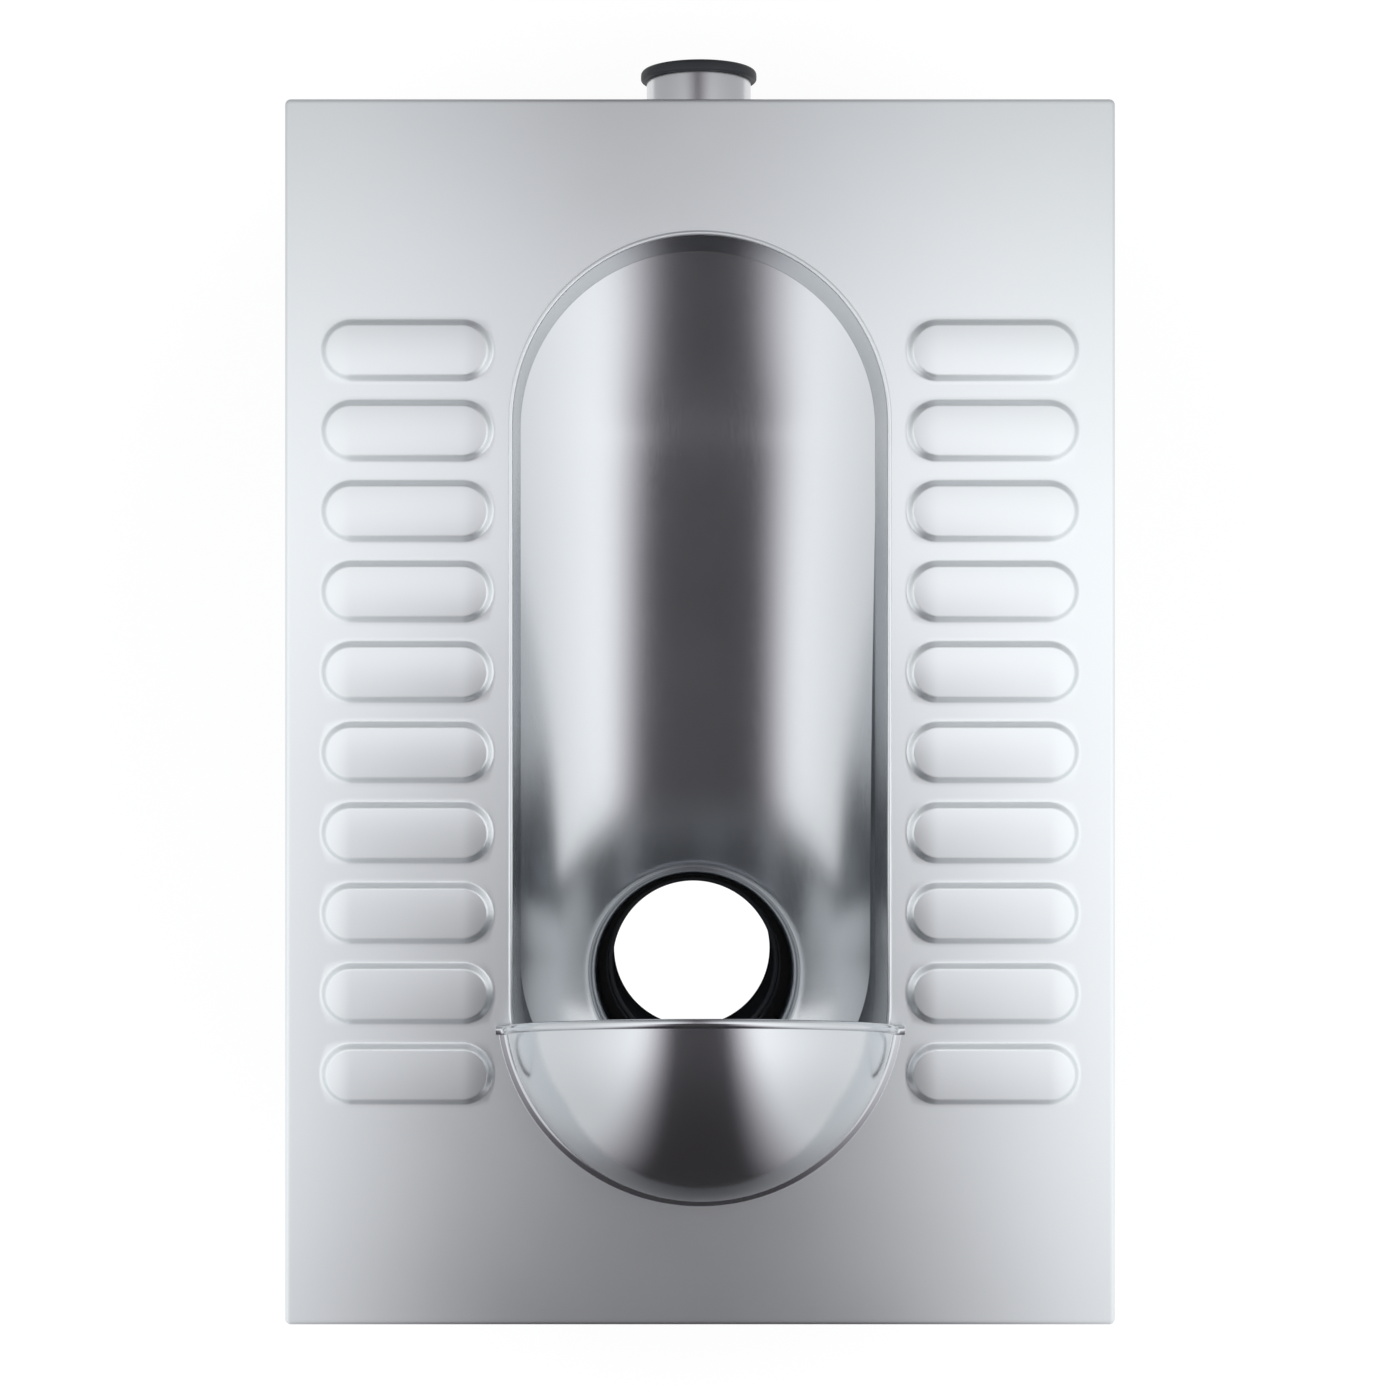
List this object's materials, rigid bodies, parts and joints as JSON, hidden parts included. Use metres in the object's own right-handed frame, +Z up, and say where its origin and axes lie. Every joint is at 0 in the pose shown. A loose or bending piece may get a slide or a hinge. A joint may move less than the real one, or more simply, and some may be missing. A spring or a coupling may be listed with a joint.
{
  "type": "squat toilet pan",
  "caption": "Rectangular sheet-steel squat toilet pan with raised foot treads, a sunken trough, a domed hood, a rear flush inlet and a bottom outlet.",
  "frame": {"origin": "centre of the lower mouth of the outlet, where the drain pipe's socket is pushed on", "axes": "+Z up, +Y to the rear, out of the flush inlet, +X to the right of someone who stands at the front, the hood's end, and looks to the rear"},
  "size_m": [0.42, 0.6406, 0.3133],
  "materials": {
    "deck_steel": "satin stainless steel, matt from pressing",
    "bright_steel": "finely polished stainless steel",
    "tube_steel": "drawn stainless steel tube",
    "under_steel": "mill-finish stainless steel sheet",
    "rubber": "matt black moulded rubber"
  },
  "bodies": {
    "root": {"deck": "deck_steel", "rim_curtain": "bright_steel", "flush_channel": "under_steel", "bowl": "bright_steel", "hood": "bright_steel", "flush_spigot": "tube_steel", "inlet_collar": "rubber", "outlet_spigot": "tube_steel", "outlet_seal": "rubber", "left_stiffener": "under_steel", "right_stiffener": "under_steel", "anchor_lugs": "under_steel"}
  },
  "joints": []
}
